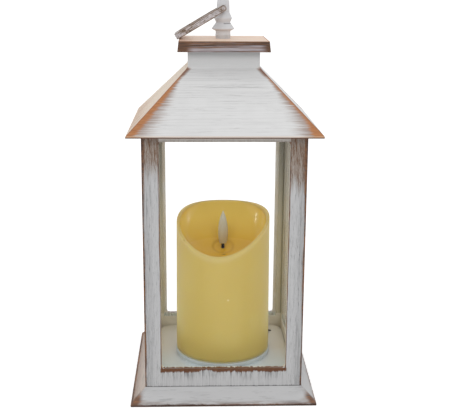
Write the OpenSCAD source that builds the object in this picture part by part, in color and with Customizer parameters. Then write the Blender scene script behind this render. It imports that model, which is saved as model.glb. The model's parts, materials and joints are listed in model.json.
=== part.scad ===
// Square candle lantern with a flameless pillar candle.
// The origin is at the centre of the plinth's foot, the front faces -Y and +Z is up.

/* [Base] */
// Width of the plinth at its foot
base_w = 140; // [136:1:160]
// Height of the seam between plinth and body
base_h = 11.4; // [10.8:0.2:14]
// Height of the upright edge round the foot
foot_h = 1.5; // [1:0.1:2.5]
// Wall of the base moulding
base_wall = 2.2; // [1.8:0.1:2.6]
// Corner radius of the candle floor
floor_r = 14; // [12:1:16]
// Height of the bead along the edge of the candle floor
floor_bead = 0.5; // [0.3:0.1:1]
// Height of the round seat under the candle
seat_rise = 1.5; // [0.5:0.1:2.5]
// Thickness of the bottom plate
plate_t = 2; // [1.8:0.1:2.4]
// Height of the bottom plate above the ground
plate_z = 1.2; // [0.8:0.1:1.4]

/* [Body] */
// Width of the glazed body
body_w = 118.5; // [116:0.5:122]
// Thickness of the four frames
frame_t = 5.3; // [5:0.1:6.5]
// Width of the stiles seen from outside
stile_w = 12.5; // [11:0.5:16]
// Height of the bottom rails
rail_h = 14.8; // [12:0.2:20]
// Height of the window openings
window_h = 173.6; // [150:0.2:190]
// Height of the top rails
top_rail_h = 9.2; // [8.8:0.2:12]
// Corner radius of the window openings
window_r = 2.5; // [1:0.5:5]
// Thickness of the clear panes
pane_t = 1.2; // [1:0.1:1.6]
// Lap of a pane behind its frame
pane_lap = 2.5; // [1.5:0.1:3]

/* [Roof] */
// Overhang of the eaves beyond the body
eave_overhang = 10.3; // [9.5:0.1:16]
// Height of the upright edge of the eaves
eave_t = 1.5; // [1:0.1:2.5]
// Height of the slope's inner face above the edge of the top plate
roof_gap = 1.5; // [1:0.1:3]
// Rise of the sloping roof faces
roof_rise = 43.4; // [38:0.2:52]
// Wall of the roof moulding
roof_wall = 2.4; // [2:0.1:2.8]
// Width of the neck
neck_w = 52.7; // [48:0.5:56]
// Height of the neck
neck_h = 11.5; // [9:0.5:16]
// Radius of the hollow between slope and neck
neck_r = 6; // [3:0.5:8]
// Width of the cap at its lower edge
cap_w = 67.4; // [66:0.2:72]
// Height of the cap
cap_h = 7.7; // [6.5:0.1:10]
// Taper of the cap's width from lower to upper edge
cap_taper = 1.8; // [0:0.2:3]
// Wall of the cap
cap_wall = 2.2; // [1.8:0.1:2.6]

/* [Finial and handle] */
// Radius of the finial's post at the handle
post_r = 4.65; // [4.2:0.05:5]
// Height of the handle's pivot above the cap
pivot_rise = 22.3; // [22:0.1:26]
// Radius of the finial's knob
knob_r = 6.5; // [5.5:0.1:8]
// Thickness of the flat handle
handle_t = 4.6; // [4:0.1:5.2]
// Width of the handle's arms
arm_w = 4; // [3.4:0.1:5]
// Length of the handle from its pivot
handle_len = 41; // [39:0.5:48]
// Width over the handle's loop
handle_w = 30; // [28:0.5:40]
// Radius of the stub pins on the handle
stub_r = 1.3; // [1.1:0.05:1.5]

/* [Candle] */
// Diameter of the candle at its foot
candle_d = 75; // [68:1:76]
// Narrowing of the candle's radius from its foot to its rim
candle_taper = 0.7; // [0:0.1:1.5]
// Sideways place of the candle on the floor
candle_x = 0.75; // [-1:0.05:1]
// Wall of the candle's shell
shell_t = 2.3; // [1.8:0.1:3]
// Height of the rim on the candle's axis above the candle's seat
rim_rise = 111.5; // [80:0.5:140]
// Backward rise of the rim in degrees
rim_tilt = 19.5; // [15:0.5:24]
// Radius of the arched rim cut
rim_arch = 98; // [92:1:160]
// Turn of the rim cut about the candle's axis in degrees
rim_turn = -9; // [-20:1:20]
// Sideways lean of the rim cut in degrees
rim_lean = 0.4; // [-3:0.2:3]
// Depth of the bowl's centre below the rim cut
bowl_depth = 24.2; // [22:0.2:30]
// Radius of the hollow bowl
bowl_r = 60; // [54:1:70]
// Thickness of the bowl
bowl_t = 1.6; // [1.2:0.1:2]
// Length of the flame
flame_len = 26.6; // [22:0.2:32]
// Greatest radius of the flame
flame_r = 3.95; // [3.6:0.05:5]
// Height of the wick between bowl and flame
wick_h = 3.6; // [3:0.2:8]

/* [Batteries and switch] */
// Diameter of a cell
cell_d = 10.5; // [9.5:0.1:10.5]
// Length of a cell
cell_len = 44.5; // [42:0.5:46]
// Number of cells side by side
cell_count = 3; // [2:1:3]
// Thickness of the circuit board
board_t = 1.6; // [1:0.1:1.6]
// Travel of the switch from off to timer
switch_travel = 4; // [3:0.5:5]

/* [Hidden] */
$fn = 64;

// Clearances
slide_gap = 0.3;   // between pieces that move past or drop into each other
pin_gap = 0.06;    // round a pin in its bore
screw_gap = 0.05;  // round a screw in its pilot hole
over = 1;          // overrun of a cut past a face

// Screws: [shank radius, head radius, head height]
small_screw = [1.1, 1.9, 1.3];
main_screw = [1.3, 2.6, 1.6];
stem_screw = [1.5, 3, 1.8];
cross_w = 0.6;
cross_depth = 0.55;                          // share of the head's height
screw_root = 0.3;                            // length of the shank inside its head

// Base
seam_w = body_w + 0.7;                       // top of the plinth, a little proud of the body
base_angle = atan2(base_h - foot_h, (base_w - seam_w) / 2);
base_skin = base_wall / sin(base_angle);     // the wall measured level
ledge_t = 2;
ledge_z = base_h - ledge_t;
deck_t = 1.6;
floor_inset = 0.45;                          // between the candle floor and each frame
floor_w = body_w - 2 * (frame_t + floor_inset);
bead_w = 1.2;
floor_hole_r = 1.9;
floor_hole_at = [floor_w / 2 - 11.1, floor_w / 2 - 12.8];
lead_hole_r = 3;
plate_top = plate_z + plate_t;
deck_gap = 0.2;                              // over the cells and the walls of their bay
plate_gap = 0.5;
plate_w = base_w - 2 * (base_skin + (plate_top - foot_h) / tan(base_angle) + plate_gap);
plate_r = 2;
boss_r = 3.5;
boss_bite = 1.3;                             // corner bosses run into the corner walls by this
corner_reach = floor_r - base_wall - boss_r + boss_bite;
plate_screw_at = floor_w / 2 - floor_r + corner_reach / sqrt(2);
plate_screw_bite = 7;
pilot_spare = 2;                             // pilot holes run past the tips of their screws

// Battery bay, which hangs from the bottom plate
cell_pitch = cell_d + 0.5;
bay_wall = 1.5;
contact_t = 0.4;
spring_h = 3.6;
bay_w = cell_count * cell_pitch + 0.5;
bay_len = cell_len + spring_h + 2 * contact_t + slide_gap;
bay_front = 5.3;
bay_y = bay_front + bay_w / 2;
door_t = 1.5;
cell_z = plate_z + door_t + slide_gap + cell_d / 2;
bay_z = cell_z + cell_d / 2;                 // top of the bay's walls, level with the cells
deck_z = bay_z + deck_gap;                   // the deck closes the bay from above
floor_z = deck_z + deck_t;                   // the candle floor, as high as the cells need it
seat_z = floor_z + seat_rise;
nub_r = 1.9;
nub_len = 1;
leaf_w = 4;
strap_w = 3;
door_gap = 0.4;
door_lap = 1;
door_len = bay_len + 2 * bay_wall;
recess_len = door_len + 2 * door_gap;
door_y0 = bay_y - bay_w / 2 - door_lap;
hinge_r = door_t;
hinge_y = bay_y + bay_w / 2 + door_lap + 2.2;
hinge_z = plate_z + hinge_r;
hinge_len = 16;
hinge_room = hinge_r + 0.6;                  // from the pivot to the edge of the door's recess
door_end = norm([hinge_room + slide_gap, hinge_r]);
trunnion_r = 0.9;
trunnion_len = 2;
ear_w = 3;
ear_wall = 0.6;
notch_r = 7;
notch_t = 2.2;
notch_floor = 1.4;

// Circuit board and switch
board_size = [44, 20];
board_y = -26;
board_screw_x = 18;
board_screw_bite = 3;
chip_x = -8;
chip_size = [5, 4, 1.4];
chip_leg = [0.4, 1.6, 0.6];
chip_pitch = 1.27;
switch_x = 6;                                // the knob's place at off
switch_mid = switch_x + switch_travel / 2;
switch_size = [13, 6.4, 4.4];
board_z = plate_top + 1.4 + switch_size[2];  // underside of the board
knob_size = [2.4, 3];
knob_room = knob_size + [switch_travel + 2 * slide_gap, 2 * slide_gap];
lead_r = 0.35;
lead_gap = 0.42;
bend_swell = 0.02;                           // of the sleeve at its bends
lead_z = board_z + board_t + 1.4;
lead_x = 12;
lead_y = board_y + 8;                        // row of solder points along the rear of the board
lead_out = bay_len / 2 - 1;                  // where the leads leave the front wall of the bay
knob_drop = 0.6;                             // reach of the switch knob below the plate

// Candle
candle_foot_t = 3;
candle_foot_r = candle_d / 2 + 0.5;
seat_r = candle_foot_r - 1;                  // hidden under the foot ring
shell_z = seat_z + candle_foot_t;
shell_in_r = candle_d / 2 - shell_t;
spigot_r = shell_in_r - 0.1;
spigot_t = 1.6;
spigot_h = 5;
candle_screw_x = spigot_r - boss_r - 0.6;
candle_screw_bite = 6.5;
rim_z = seat_z + rim_rise;
blank_len = rim_rise + candle_d / 2;         // of the shell before its rim is cut
bowl_tilt = 20;
bowl_z = rim_z - bowl_depth;
flame_z = bowl_z + wick_h;
flame_wall = 1.1;
flame_hollow = 0.6;                          // share of the flame's length that is hollow
flame_arc = (pow(flame_len * 2 / 3, 2) + pow(flame_r, 2)) / (2 * flame_r);
wick_r = 1.25;
wick_bore = 0.9;
wick_drop = 6;                               // length of the wick tube below the bowl's centre
wick_foot_r = 3;
slot_size = [2.6, 0.8];
slot_at = [0.5, -12];                        // lamp's small slot in front of the wick
plug_t = 1;
mouth_r = flame_mouth(flame_r - flame_wall);
led_r = 1.5;
led_h = 3.6;
led_flange = [1.75, 0.8];

// Body
body_z = base_h;
body_h = rail_h + window_h + top_rail_h;
body_top = body_z + body_h;
window_w = body_w - 2 * stile_w;
rebate_t = pane_t + slide_gap;
pane_gap = 0.25;
tongue = [1.4, 1.5];                         // reach and width
tongue_gap = 0.15;
groove_w = tongue[1] + 2 * tongue_gap;
frame_screw_at = 35;
frame_screw_depth = 6;
frame_mid = body_w / 2 - frame_t / 2;
frame_screw_line = frame_mid - 0.3;

// Roof
top_plate_t = 2;
top_plate_z = body_top + top_plate_t;
top_plate_w = body_w - 0.5;
eave_w = body_w + 2 * eave_overhang;
slope_w = eave_w - 0.5;
hollow_bite = 0.02;                          // the hollow bites this far into slope and neck
roof_angle = atan2(roof_rise, (slope_w - neck_w) / 2);
roof_skin = roof_wall / sin(roof_angle);
eave_in = slope_w / 2 - roof_skin + eave_t / tan(roof_angle);
eave_z = top_plate_z + roof_gap - (eave_in - top_plate_w / 2) * tan(roof_angle);
slope_z = eave_z + eave_t;
slope_top = slope_z + roof_rise;
neck_top = slope_top + neck_h;
roof_boss_at = 38;
roof_boss_r = 4;
roof_screw_len = 12;
cap_z = neck_top;
cap_top = cap_z + cap_h;
cap_boss_r = 5;
rib_w = 1.6;
rib_span = neck_w - 1;                       // ring of ribs by which the cap stands on the neck
washer = [5, 1];                             // radius and thickness

// Finial and handle
finial_pilot = 12;
post_top_r = post_r - 0.45;
knob_rise = pivot_rise + 18;
pivot_z = cap_top + pivot_rise;
arm_gap = 0.55;
arm_in = post_r + arm_gap;                   // inner face of the arms beside the post
arm_start = 3;                               // where the arms begin and end their sideways step
arm_flare = 9;
loop_r = 6;
stub_len = 1.7;                              // reach of the pins inside the arms
cap_edge = cap_w / 2 - cap_taper / 2;
edge_reach = norm([cap_edge, pivot_rise]);
handle_angle = atan2(pivot_rise, cap_edge) - asin((handle_t / 2 + slide_gap) / edge_reach);

// Half profile of the turned finial, from its foot on z = 0 to the tip of the acorn knob
foot_r = 5.5;
foot_bead = 0.25;
flange_r = 8.4;
collar_r = 6.65;
bead_r = 1.5;
tip_r = 1;
finial_profile = concat(
    [[0, 0], [foot_r, 0], [foot_r, 1.6], [foot_r + foot_bead, 2.7], [foot_r, 3.8], [foot_r + 0.1, 5.6],
        [flange_r, 7.1], [flange_r, 7.6], [foot_r - 0.2, 11.9], [collar_r, 14.8], [collar_r, 15.2],
        [post_r + 0.2, pivot_rise - 3], [post_r, pivot_rise + 3], [post_top_r, knob_rise - 10.5]],
    arc([post_top_r, knob_rise - 9], bead_r, -90, 90, 8),
    arc([0, knob_rise], knob_r, -50, 60, 16),
    [[tip_r + 0.8, knob_rise + knob_r + 0.6], [tip_r, knob_rise + knob_r + 1.6],
        [0, knob_rise + knob_r + 1.8]]);

// Colours
white_paint = "#D8D8D6";
worn_brown = "#8A5A3C";
warm_white = "#CFC8B8";
wax = "#D9C27A";
bowl_amber = "#C79A3A";
steel = "#B8BCC0";

// Radius of the flame's arc at its mouth for a given greatest radius
function flame_mouth(r) = sqrt(pow(flame_arc, 2) - pow(flame_len / 3, 2)) - flame_arc + r;

// Points along an arc in the plane of a turned profile
function arc(centre, r, from, to, steps) =
    [for (i = [0:steps]) let (turn = from + (to - from) * i / steps) centre + r * [cos(turn), sin(turn)]];

// Outline made of a half profile and its mirror image
function both_sides(half) =
    concat(half, [for (i = [len(half) - 1:-1:0]) [-half[i][0], half[i][1]]]);

// Four mirrored places
function four(a, b) = [[a, b], [-a, b], [-a, -b], [a, -b]];

// Solid whose four sides follow one outline, with mitred corners
module four_sided(span) {
    intersection() {
        rotate([90, 0, 0]) linear_extrude(span, center = true) children();
        rotate([90, 0, 90]) linear_extrude(span, center = true) children();
    }
}

// Rectangle with true round corners
module round_rect(w, h, r) {
    square([w - 2 * r, h], center = true);
    square([w, h - 2 * r], center = true);
    for (p = four(w / 2 - r, h / 2 - r)) translate(p) circle(r);
}

// Cross recess for the driver, cut upwards into a head whose face lies at the origin
module cross_recess(kind) {
    for (turn = [0, 90])
        rotate(turn) cube([1.3 * kind[1], cross_w, 2 * cross_depth * kind[2]], center = true);
}

// Pan-head screw that stands on its head at the origin and points up
module screw(kind, len) {
    translate([0, 0, -kind[2]]) difference() {
        cylinder(r = kind[1], h = kind[2]);
        cross_recess(kind);
    }
    translate([0, 0, -screw_root]) cylinder(r = kind[0], h = len + screw_root);
}

// Hole for a screw, wide enough to pass or tight enough to bite
module screw_hole(kind, len, slack) {
    translate([0, 0, -over]) cylinder(r = kind[0] + slack, h = len + over);
}

// Moves a piece of the candle onto the candle's axis
module on_candle_axis() {
    translate([candle_x, 0, 0]) children();
}

// Wire that runs from point to point
module wire(points, r) {
    for (i = [1:len(points) - 1]) {
        run = points[i] - points[i - 1];
        translate(points[i - 1])
            rotate([0, acos(run[2] / norm(run)), atan2(run[1], run[0])])
                cylinder(r = r, h = norm(run), $fn = 24);
        if (i < len(points) - 1) translate(points[i]) sphere(r + bend_swell, $fn = 24);
    }
}

// ---- Base ----

module base_outline() {
    polygon(both_sides([[base_w / 2, 0], [base_w / 2, foot_h], [seam_w / 2, base_h]]));
}

module base_hollow() {
    top_half = base_w / 2 - base_skin - (ledge_z - foot_h) / tan(base_angle);
    polygon(both_sides([[base_w / 2 - base_skin, -over], [base_w / 2 - base_skin, foot_h],
        [top_half, ledge_z]]));
}

module base() color(white_paint) difference() {
    union() {
        difference() {
            union() {
                four_sided(base_w) base_outline();
                translate([0, 0, ledge_z])
                    linear_extrude(floor_z - ledge_z) round_rect(floor_w, floor_w, floor_r);
            }
            four_sided(base_w) base_hollow();
            linear_extrude(deck_z) round_rect(floor_w - 2 * base_wall, floor_w - 2 * base_wall,
                floor_r - base_wall);
        }
        translate([0, 0, floor_z]) linear_extrude(floor_bead) difference() {
            round_rect(floor_w, floor_w, floor_r);
            round_rect(floor_w - 2 * bead_w, floor_w - 2 * bead_w, floor_r - bead_w);
        }
        on_candle_axis() translate([0, 0, floor_z]) linear_extrude(seat_rise) difference() {
            circle(seat_r);
            circle(candle_screw_x - boss_r);
        }
        for (p = four(plate_screw_at, plate_screw_at))
            translate([p[0], p[1], plate_top]) cylinder(r = boss_r, h = deck_z + deck_t / 2 - plate_top);
        for (side = [-1, 1])
            translate([side * board_screw_x, board_y, board_z + board_t])
                cylinder(r = boss_r - 0.7, h = deck_z + deck_t / 2 - board_z - board_t);
    }
    for (p = four(plate_screw_at, plate_screw_at))
        translate([p[0], p[1], plate_top])
            screw_hole(main_screw, plate_screw_bite + pilot_spare, screw_gap);
    for (side = [-1, 1]) {
        translate([side * board_screw_x, board_y, board_z + board_t])
            screw_hole(small_screw, board_screw_bite + over / 2, screw_gap);
        on_candle_axis() translate([side * candle_screw_x, 0, deck_z])
            screw_hole(main_screw, deck_t + seat_rise + over, slide_gap);
    }
    for (turn = [0:90:270], at = [-frame_screw_at, frame_screw_at])
        rotate(turn) translate([at, -frame_screw_line, ledge_z])
            screw_hole(small_screw, ledge_t + over, slide_gap);
    on_candle_axis() translate([0, 0, deck_z - over]) cylinder(r = lead_hole_r, h = deck_t + 2 * over);
    translate([floor_hole_at[0], floor_hole_at[1], deck_z - over])
        cylinder(r = floor_hole_r, h = deck_t + 2 * over);
}

module base_screws() color(steel)
    for (turn = [0:90:270], at = [-frame_screw_at, frame_screw_at])
        rotate(turn) translate([at, -frame_screw_line, ledge_z])
            screw(small_screw, ledge_t + frame_screw_depth - over);

// ---- Bottom plate and batteries ----

// Countersunk screw with its head flush at the origin, grown all round by a gap
module flush_screw(len, gap) {
    cylinder(r1 = main_screw[1] + gap, r2 = main_screw[0] + gap, h = main_screw[2]);
    cylinder(r = main_screw[0] + gap, h = len);
}

// Half-round scoop for a finger beside the free edge of the battery door
module finger_notch(r, h) {
    linear_extrude(h) difference() {
        circle(r);
        translate([-r - over, 0]) square([2 * (r + over), r + over]);
    }
}

module bottom_plate() color(warm_white) difference() {
    union() {
        translate([0, 0, plate_z]) linear_extrude(plate_t) round_rect(plate_w, plate_w, plate_r);
        translate([0, bay_y, (plate_z + bay_z) / 2])
            cube([bay_len + 2 * bay_wall, bay_w + 2 * bay_wall, bay_z - plate_z], center = true);
        translate([0, door_y0 - door_gap, plate_z]) finger_notch(notch_r + bay_wall, notch_t + notch_floor);
        for (side = [-1, 1])
            translate([side * (hinge_len / 2 + door_gap + ear_w / 2), hinge_y, hinge_z])
                cube([ear_w, 2 * (hinge_r + ear_wall), 2 * hinge_r], center = true);
    }
    translate([0, bay_y, (plate_z + bay_z) / 2])
        cube([bay_len, bay_w, bay_z - plate_z + 2 * over], center = true);
    translate([-recess_len / 2, door_y0 - door_gap, plate_z - over])
        cube([recess_len, hinge_y - hinge_room - door_y0 + door_gap, door_t + slide_gap + over]);
    translate([-hinge_len / 2 - door_gap, hinge_y - door_end - door_gap, plate_z - over])
        cube([hinge_len + 2 * door_gap, door_end + hinge_r + door_gap + slide_gap, 2 * (hinge_r + over)]);
    translate([0, door_y0 - door_gap + over / 2, plate_z - over]) finger_notch(notch_r, notch_t + over);
    translate([0, hinge_y, hinge_z]) rotate([0, 90, 0])
        cylinder(r = trunnion_r + pin_gap, h = hinge_len + 2 * (door_gap + trunnion_len), center = true,
            $fn = 32);
    for (p = four(plate_screw_at, plate_screw_at)) {
        translate([p[0], p[1], plate_z]) flush_screw(plate_t + over, screw_gap);
        translate([p[0], p[1], plate_z]) cylinder(r = main_screw[0] + slide_gap, h = plate_t + over);
    }
    translate([switch_mid, board_y, plate_z + plate_t / 2])
        cube([knob_room[0], knob_room[1], plate_t + 2 * over], center = true);
}

module bottom_plate_screws() color(steel)
    for (p = four(plate_screw_at, plate_screw_at))
        translate([p[0], p[1], plate_z]) difference() {
            flush_screw(plate_t + plate_screw_bite, 0);
            cross_recess(main_screw);
        }

module battery_door() color(warm_white) {
    translate([-door_len / 2, door_y0, plate_z]) cube([door_len, hinge_y - door_end - door_y0, door_t]);
    translate([-hinge_len / 2, hinge_y - door_end - over, plate_z])
        cube([hinge_len, door_end + over, door_t]);
    translate([0, hinge_y, hinge_z]) rotate([0, 90, 0]) {
        cylinder(r = hinge_r, h = hinge_len, center = true);
        cylinder(r = trunnion_r, h = hinge_len + 2 * trunnion_len + door_gap, center = true, $fn = 32);
    }
}

// A cell that lies along +X from its flat end
module cell() {
    rotate([0, 90, 0]) {
        cylinder(d = cell_d, h = cell_len - nub_len);
        cylinder(r = nub_r, h = cell_len);
    }
}

// Place of cell number i across the bay
function cell_y(i) = bay_y + (i - (cell_count - 1) / 2) * cell_pitch;

// Neighbouring cells point opposite ways
function points_right(i) = i % 2 == 0;

module batteries() color("#5F6F7A")
    for (i = [0:cell_count - 1])
        translate([0, cell_y(i), cell_z]) mirror([points_right(i) ? 0 : 1, 0, 0])
            translate([bay_len / 2 - contact_t - cell_len, 0, 0]) cell();

// Contact plate for one end of a cell, with an arched leaf spring at the minus end
module contact(side, i, spring) {
    leaf_r = (pow(cell_d / 2 - 1, 2) + pow(spring_h, 2)) / (2 * spring_h);
    wall_x = bay_len / 2;
    translate([side * (wall_x - contact_t / 2), cell_y(i), cell_z])
        cube([contact_t, cell_d - 1.5, cell_d - 2], center = true);
    if (spring) translate([side * (wall_x - contact_t), cell_y(i), cell_z])
        mirror([side > 0 ? 1 : 0, 0, 0]) linear_extrude(leaf_w, center = true) intersection() {
            translate([spring_h - leaf_r, 0]) difference() {
                circle(leaf_r);
                circle(leaf_r - contact_t);
            }
            translate([0, -cell_d / 2]) square([spring_h, cell_d]);
        }
}

module battery_contacts() color(steel) {
    for (i = [0:cell_count - 1]) {
        contact(points_right(i) ? 1 : -1, i, false);
        contact(points_right(i) ? -1 : 1, i, true);
    }
    for (i = [0:cell_count - 2]) {
        side = points_right(i) ? -1 : 1;
        translate([side * (bay_len - contact_t) / 2, (cell_y(i) + cell_y(i + 1)) / 2, cell_z])
            cube([contact_t, cell_pitch, strap_w], center = true);
    }
}

// ---- Circuit board, switch and leads ----

module circuit_board() color("#2F6B3C") difference() {
    translate([0, board_y, board_z + board_t / 2])
        cube([board_size[0], board_size[1], board_t], center = true);
    for (side = [-1, 1])
        translate([side * board_screw_x, board_y, board_z])
            screw_hole(small_screw, board_t + over, slide_gap);
}

// Eight-legged chip, soldered on top of the board
module timer_chip() color("#222222") translate([chip_x, board_y, board_z + board_t]) {
    translate([0, 0, (chip_size[2] + chip_leg[2]) / 2 - 0.1]) cube(chip_size, center = true);
    for (row = [-1.5:1:1.5], side = [-1, 1])
        translate([row * chip_pitch, side * (chip_size[1] + chip_leg[1] / 2) / 2, chip_leg[2] / 2])
            cube(chip_leg, center = true);
}

module board_screws() color(steel)
    for (side = [-1, 1])
        translate([side * board_screw_x, board_y, board_z]) screw(small_screw, board_t + board_screw_bite);

module switch_body() color(steel) difference() {
    translate([switch_mid, board_y, board_z - switch_size[2] / 2]) cube(switch_size, center = true);
    translate([switch_mid, board_y, board_z - switch_size[2]])
        cube([knob_room[0], knob_room[1], switch_size[2] + over], center = true);
}

module switch_slider() color("#1C1C1C") {
    slider_top = board_z - (switch_size[2] - over) / 2 - slide_gap;
    translate([switch_x - knob_size[0] / 2, board_y - knob_size[1] / 2, plate_z - knob_drop])
        cube([knob_size[0], knob_size[1], slider_top - plate_z + knob_drop]);
}

module battery_leads() color("#A03028")
    for (side = [-1, 1])
        wire([[side * lead_out, bay_front - bay_wall, lead_z], [side * lead_out, lead_y + 6, lead_z],
            [side * lead_x, lead_y, lead_z], [side * lead_x, lead_y, board_z + board_t]], lead_r);

module led_leads() color("#A03028") on_candle_axis()
    for (side = [-1, 1])
        wire([[side * lead_gap, 0, flame_z + plug_t],
            [side * lead_gap, 0, lead_z],
            [side * lead_gap, lead_y, lead_z],
            [side * lead_gap, lead_y, board_z + board_t]], lead_r);

// ---- Candle ----

module candle_base() color("#E4E2DA") on_candle_axis() difference() {
    union() {
        translate([0, 0, seat_z]) cylinder(r = candle_foot_r, h = candle_foot_t);
        translate([0, 0, shell_z - over]) difference() {
            cylinder(r = spigot_r, h = spigot_h + over);
            translate([0, 0, over]) cylinder(r = spigot_r - spigot_t, h = spigot_h + over);
        }
        for (side = [-1, 1])
            translate([side * candle_screw_x, 0, shell_z - over]) cylinder(r = boss_r, h = spigot_h + over);
    }
    for (side = [-1, 1])
        translate([side * candle_screw_x, 0, seat_z])
            screw_hole(main_screw, candle_screw_bite + over / 2, screw_gap);
    translate([0, 0, seat_z - over]) cylinder(r = lead_hole_r, h = candle_foot_t + 2 * over);
}

module candle_screws() color(steel) on_candle_axis()
    for (side = [-1, 1])
        translate([side * candle_screw_x, 0, deck_z])
            screw(main_screw, deck_t + seat_rise + candle_screw_bite);

// Everything below the arched rim of the candle
module below_rim() {
    translate([0, 0, rim_z]) rotate([0, 0, rim_turn]) rotate([0, -rim_lean, 0]) rotate([rim_tilt, 0, 0])
        translate([0, 0, -rim_arch]) rotate([0, 90, 0])
            cylinder(r = rim_arch, h = 2 * candle_d, center = true, $fn = 180);
}

// Slim cone on the candle's axis, r wide at the shell's foot, between two heights above that foot
module candle_cone(r, low, high) {
    narrowing = candle_taper / rim_rise;
    translate([0, 0, shell_z + low])
        cylinder(r1 = r - low * narrowing, r2 = r - high * narrowing, h = high - low, $fn = 128);
}

module candle_shell() color(wax) on_candle_axis() intersection() {
    difference() {
        candle_cone(candle_d / 2, 0, blank_len);
        candle_cone(shell_in_r, -over, blank_len + over);
    }
    below_rim();
}

module bowl_ball(r) {
    translate([0, 0, bowl_z]) rotate([bowl_tilt, 0, 0]) translate([0, 0, bowl_r]) sphere(r, $fn = 128);
}

module candle_bowl() color(bowl_amber) on_candle_axis() difference() {
    intersection() {
        difference() {
            bowl_ball(bowl_r + bowl_t);
            bowl_ball(bowl_r);
        }
        candle_cone(spigot_r, 0, blank_len);
        below_rim();
    }
    translate([0, 0, bowl_z - wick_drop]) cylinder(r = wick_r + screw_gap, h = 2 * wick_drop);
    translate([slot_at[0], slot_at[1], bowl_z])
        linear_extrude(candle_d / 2, center = true) square(slot_size, center = true);
}

module wick() color("#17120E") on_candle_axis() difference() {
    union() {
        translate([0, 0, bowl_z - wick_drop]) cylinder(r = wick_r, h = wick_h + wick_drop);
        translate([0, 0, flame_z - 0.2]) cylinder(r = mouth_r - screw_gap, h = plug_t + 0.2);
        translate([0, 0, bowl_z - wick_drop]) cylinder(r = wick_foot_r, h = bowl_t);
    }
    translate([0, 0, bowl_z - wick_drop - over])
        cylinder(r = wick_bore, h = wick_drop + wick_h + plug_t + 2 * over);
}

// Pointed bullet with its foot at the origin
module bullet(r) {
    rotate_extrude() intersection() {
        translate([r - flame_arc, flame_len / 3]) circle(flame_arc, $fn = 360);
        square([flame_r, flame_len]);
    }
}

module flame() color("#F3EFE4") on_candle_axis() translate([0, 0, flame_z]) difference() {
    bullet(flame_r);
    intersection() {
        bullet(flame_r - flame_wall);
        cylinder(r = flame_r, h = flame_len * flame_hollow);
    }
    translate([0, 0, -over]) cylinder(r = mouth_r, h = 2 * over);
}

module led() color("#EDEBD8") on_candle_axis() translate([0, 0, flame_z + plug_t]) {
    cylinder(r = led_flange[0], h = led_flange[1]);
    cylinder(r = led_r, h = led_h);
    translate([0, 0, led_h]) sphere(led_r);
}

// ---- Body ----

// Window frame with its outer face on y = 0 and its foot on z = 0
module window_frame(len) {
    difference() {
        translate([-len / 2, 0, 0]) cube([len, frame_t, body_h]);
        translate([0, frame_t / 2, rail_h + window_h / 2]) rotate([90, 0, 0])
            linear_extrude(frame_t + 2 * over, center = true) round_rect(window_w, window_h, window_r);
        translate([-window_w / 2 - pane_lap, frame_t - rebate_t, rail_h - pane_lap])
            cube([window_w + 2 * pane_lap, rebate_t + over, window_h + 2 * pane_lap]);
        for (at = [-frame_screw_at, frame_screw_at]) {
            translate([at, body_w / 2 - frame_screw_line, 0])
                screw_hole(small_screw, frame_screw_depth, screw_gap);
            translate([at, body_w / 2 - frame_screw_line, body_h]) mirror([0, 0, 1])
                screw_hole(small_screw, frame_screw_depth, screw_gap);
        }
    }
}

// Front and back frames run the whole width and are grooved for the side frames
module wide_frame() {
    difference() {
        window_frame(body_w);
        for (side = [-1, 1])
            translate([side * frame_mid - groove_w / 2, frame_t - tongue[0] - tongue_gap, -over])
                cube([groove_w, tongue[0] + tongue_gap + over, body_h + 2 * over]);
    }
}

module side_frame() {
    side_len = body_w - 2 * frame_t;
    window_frame(side_len);
    for (side = [-1, 1])
        translate([side * (side_len / 2 + tongue[0] / 2 - over / 2), frame_t / 2, body_h / 2])
            cube([tongue[0] + over, tongue[1], body_h], center = true);
}

// Turns a piece of the front to one of the other sides
module on_side(turn) {
    rotate(turn) translate([0, -body_w / 2, body_z]) children();
}

module pane() {
    translate([-window_w / 2 - pane_lap + pane_gap, frame_t - rebate_t, rail_h - pane_lap + pane_gap])
        cube([window_w + 2 * pane_lap - 2 * pane_gap, pane_t, window_h + 2 * pane_lap - 2 * pane_gap]);
}

module front_frame() color(white_paint) on_side(0) wide_frame();
module back_frame() color(white_paint) on_side(180) wide_frame();
module left_frame() color(white_paint) on_side(-90) side_frame();
module right_frame() color(white_paint) on_side(90) side_frame();
module front_pane() color("#DDEEF2", 0.3) on_side(0) pane();
module back_pane() color("#DDEEF2", 0.3) on_side(180) pane();
module left_pane() color("#DDEEF2", 0.3) on_side(-90) pane();
module right_pane() color("#DDEEF2", 0.3) on_side(90) pane();

// ---- Top plate and roof ----

module top_plate() color(warm_white) difference() {
    translate([0, 0, body_top]) linear_extrude(top_plate_t) round_rect(top_plate_w, top_plate_w, 1);
    for (turn = [0:90:270], at = [-frame_screw_at, frame_screw_at])
        rotate(turn) translate([at, -frame_screw_line, body_top])
            screw_hole(small_screw, top_plate_t + over, slide_gap);
    for (p = four(roof_boss_at, roof_boss_at))
        translate([p[0], p[1], body_top]) screw_hole(main_screw, top_plate_t + over, slide_gap);
}

module frame_screws() color(steel)
    for (turn = [0:90:270], at = [-frame_screw_at, frame_screw_at])
        rotate(turn) translate([at, -frame_screw_line, top_plate_z]) mirror([0, 0, 1])
            screw(small_screw, top_plate_t + frame_screw_depth - over);

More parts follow.
